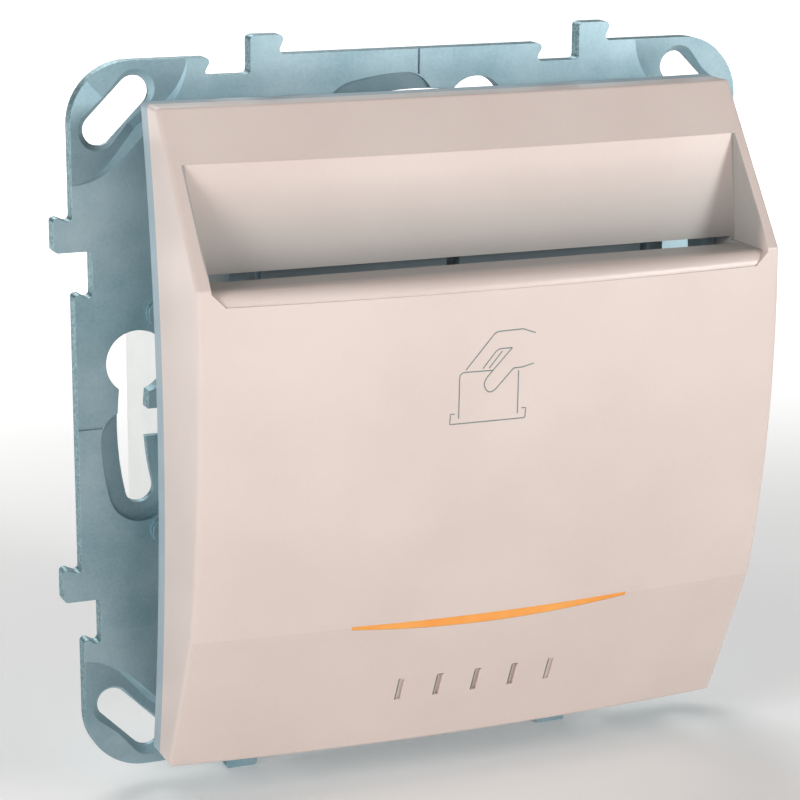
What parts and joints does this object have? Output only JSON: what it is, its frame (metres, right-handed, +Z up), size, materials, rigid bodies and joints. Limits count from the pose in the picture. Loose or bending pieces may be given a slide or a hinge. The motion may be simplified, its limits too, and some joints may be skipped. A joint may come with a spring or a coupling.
{
  "type": "hotel key card switch",
  "caption": "Flush-mounted hotel key card switch: domed cover with a slanted card pocket, light strip, lever-driven changeover contacts and a square wall-box support frame.",
  "frame": {"origin": "centre of the support frame's rear face, which lies on the wall, midway between the fixing slots", "axes": "+X to the user's right, +Y into the wall, +Z up; the user stands on the -Y side"},
  "size_m": [0.0748, 0.0479, 0.0748],
  "materials": {
    "frame_metal": "cast, fine grained, blue-grey",
    "cover_plastic": "satin beige",
    "carrier_plastic": "smooth blue-grey",
    "guide_plastic": "matt grey",
    "housing_plastic": "matt white",
    "lever_plastic": "natural white acetal",
    "amber_plastic": "amber, translucent",
    "board_laminate": "green board laminate",
    "resistor_lacquer": "tan lacquer",
    "tinned_brass": "tinned",
    "brass_strip": "rolled strip",
    "silver_alloy": "silver contact alloy",
    "zinc_steel": "zinc plated",
    "spring_steel": "drawn wire"
  },
  "bodies": {
    "switch": {"support_frame": "frame_metal", "rear_housing": "housing_plastic", "housing_lid": "housing_plastic", "housing_screws": "zinc_steel", "cover_carrier": "carrier_plastic", "card_guide": "guide_plastic", "cover": "cover_plastic", "light_strip": "amber_plastic", "indicator_led": "amber_plastic", "circuit_board": "board_laminate", "board_pins": "tinned_brass", "series_resistor": "resistor_lacquer", "fixed_tips": "silver_alloy", "upper_contact_left": "brass_strip", "upper_contact_right": "brass_strip", "lower_contact_left": "brass_strip", "lower_contact_right": "brass_strip", "terminal_cages": "zinc_steel", "terminal_screws": "zinc_steel", "return_spring": "spring_steel"},
    "lever": {"card_lever": "lever_plastic", "lever_axle": "spring_steel"},
    "slider": {"contact_slider": "lever_plastic", "bridge_contact": "brass_strip", "bridge_tips": "silver_alloy"}
  },
  "joints": [
    {"name": "lever_press", "type": "hinge", "parent": "switch", "child": "lever", "pos_m": [0, -0.007, 0.005], "axis": [1, 0, 0], "range_deg": [0, 13.5]},
    {"name": "slider_lift", "type": "slide", "parent": "switch", "child": "slider", "axis": [0, 0, 1], "range_m": [0, 0.00204], "stiffness_N_per_m": 150, "springref_m": -0.002, "deforming": ["return_spring"]}
  ],
  "couplings": [
    {"joint": "lever_press", "follows": "slider_lift", "rad_per_m": 111.11}
  ]
}
